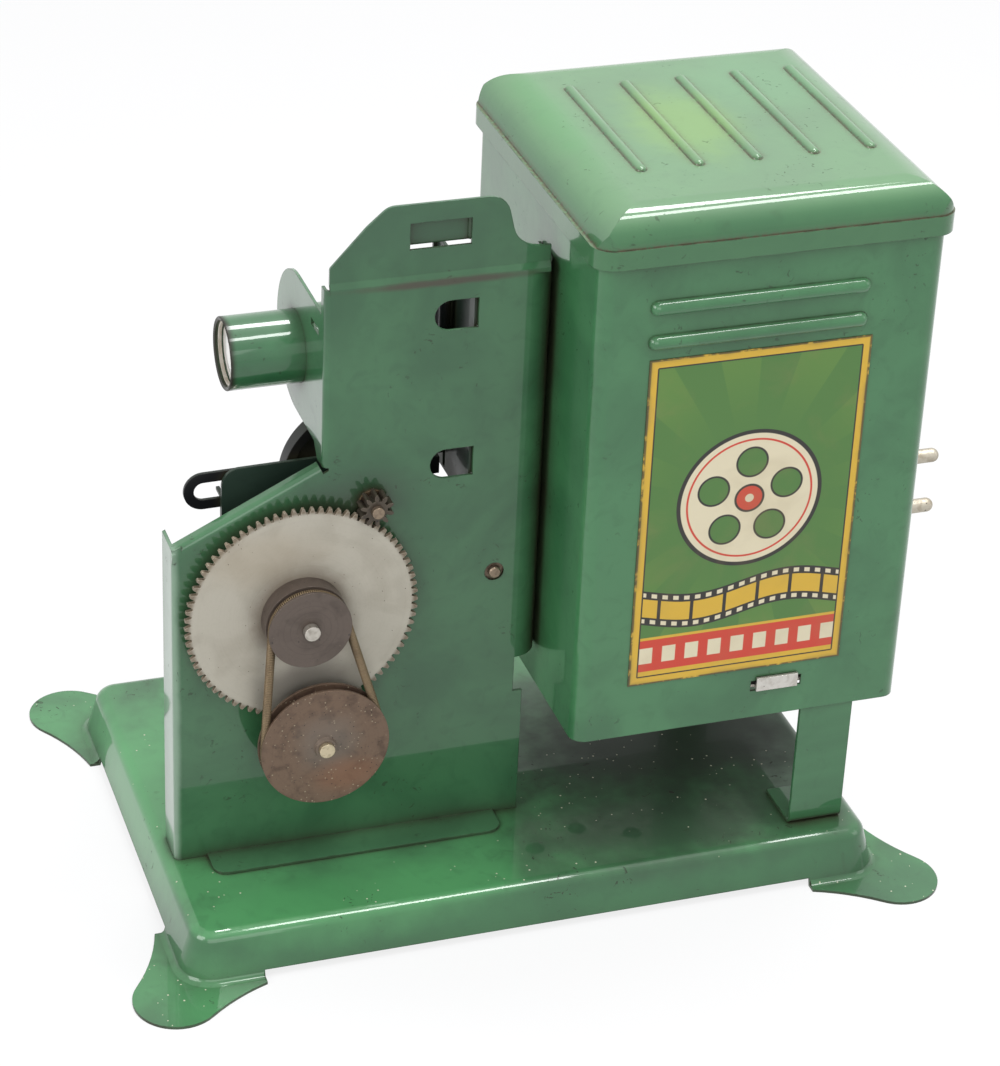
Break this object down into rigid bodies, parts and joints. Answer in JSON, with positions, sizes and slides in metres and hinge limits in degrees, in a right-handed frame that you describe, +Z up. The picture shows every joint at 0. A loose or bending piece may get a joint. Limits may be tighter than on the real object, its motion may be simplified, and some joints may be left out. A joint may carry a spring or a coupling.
{
  "type": "movie projector",
  "caption": "Hand-cranked toy movie projector of pressed sheet steel with gear train, coiled belt, lens tube, film gate and vented lamp house.",
  "frame": {"origin": "under the middle of the base, on the table", "axes": "+X along the base from the lens to the lamp house, +Y away from the gear side, +Z up"},
  "size_m": [0.282, 0.2004, 0.2573],
  "materials": {
    "green_enamel": "gloss",
    "dark_enamel": "gloss",
    "black_enamel": "satin",
    "steel": "satin",
    "brown_steel": "satin",
    "belt_wire": "satin",
    "brass": "satin",
    "glass": "clear",
    "mirror": "polished",
    "cream": "matte",
    "label": "printed paper under varnish",
    "handle_wood": "black lacquer",
    "porcelain": "glazed",
    "fibre": "satin"
  },
  "bodies": {
    "frame": {"base_pan": "green_enamel", "tower_panel": "green_enamel", "mechanism_plate": "dark_enamel", "bearing_bushes": "brass", "drive_belt": "belt_wire", "lens_plate_sleeve": "green_enamel", "film_gate": "dark_enamel", "gate_hinge_pin": "steel", "roller_stud": "steel", "support_leg": "green_enamel", "lamp_house": "green_enamel", "lamp_house_floor": "steel", "label_sheet": "label", "house_rivets": "steel", "condenser_mount": "steel", "condenser_lens": "glass", "reflector": "mirror", "reflector_post": "steel", "lamp_stand": "steel", "lamp_socket": "porcelain", "lamp_cap": "brass", "lamp_glass": "glass", "lamp_filament": "steel", "inlet_block": "fibre", "inlet_pins": "brass", "contact_straps": "brass"},
    "crank": {"crank_shaft": "steel", "main_gear": "steel", "drive_pulley": "brown_steel", "crank_arm": "steel", "handle_pin": "steel"},
    "handle": {"crank_handle": "handle_wood"},
    "pinion": {"pinion_shaft": "steel", "pinion": "brown_steel", "flywheel": "black_enamel", "eccentric": "steel"},
    "claw": {"claw_link": "black_enamel"},
    "takeup": {"takeup_shaft": "steel", "takeup_pulley": "brown_steel", "reel_collar": "steel"},
    "lens": {"lens_barrel": "green_enamel", "front_lens": "glass", "rear_lens": "glass", "lens_ring": "cream"},
    "door": {"gate_door": "black_enamel", "pressure_runners": "brass"},
    "roller": {"guide_roller": "steel"},
    "lid": {"lamp_house_lid": "green_enamel"}
  },
  "joints": [
    {"name": "crank_turn", "type": "hinge", "parent": "frame", "child": "crank", "pos_m": [-0.07325, 0.00475, 0.1109], "axis": [0, 1, 0], "continuous": true},
    {"name": "handle_spin", "type": "hinge", "parent": "crank", "child": "handle", "pos_m": [-0.02925, 0.03775, 0.1109], "axis": [0, 1, 0], "continuous": true},
    {"name": "pinion_spin", "type": "hinge", "parent": "frame", "child": "pinion", "pos_m": [-0.04934, -0.02525, 0.14676], "axis": [0, 1, 0], "continuous": true},
    {"name": "claw_swing", "type": "hinge", "parent": "pinion", "child": "claw", "pos_m": [-0.04934, -0.01725, 0.14896], "axis": [0, 1, 0], "continuous": true},
    {"name": "takeup_spin", "type": "hinge", "parent": "frame", "child": "takeup", "pos_m": [-0.06775, -0.02525, 0.065], "axis": [0, 1, 0], "continuous": true},
    {"name": "roller_spin", "type": "hinge", "parent": "frame", "child": "roller", "pos_m": [-0.00665, -0.00225, 0.1142], "axis": [0, 1, 0], "continuous": true},
    {"name": "door_swing", "type": "hinge", "parent": "frame", "child": "door", "pos_m": [-0.01975, -0.01355, 0.1887], "axis": [0, 0, 1], "range_deg": [0, 70]},
    {"name": "lens_slide", "type": "slide", "parent": "frame", "child": "lens", "axis": [-1, 0, 0], "range_m": [-0.008, 0.008]},
    {"name": "lid_lift", "type": "slide", "parent": "frame", "child": "lid", "axis": [0, 0, 1], "range_m": [0, 0.04]}
  ],
  "couplings": [
    {"joint": "pinion_spin", "follows": "crank_turn", "ratio": -8},
    {"joint": "claw_swing", "follows": "crank_turn", "ratio": 8},
    {"joint": "takeup_spin", "follows": "crank_turn", "ratio": 0.605}
  ]
}
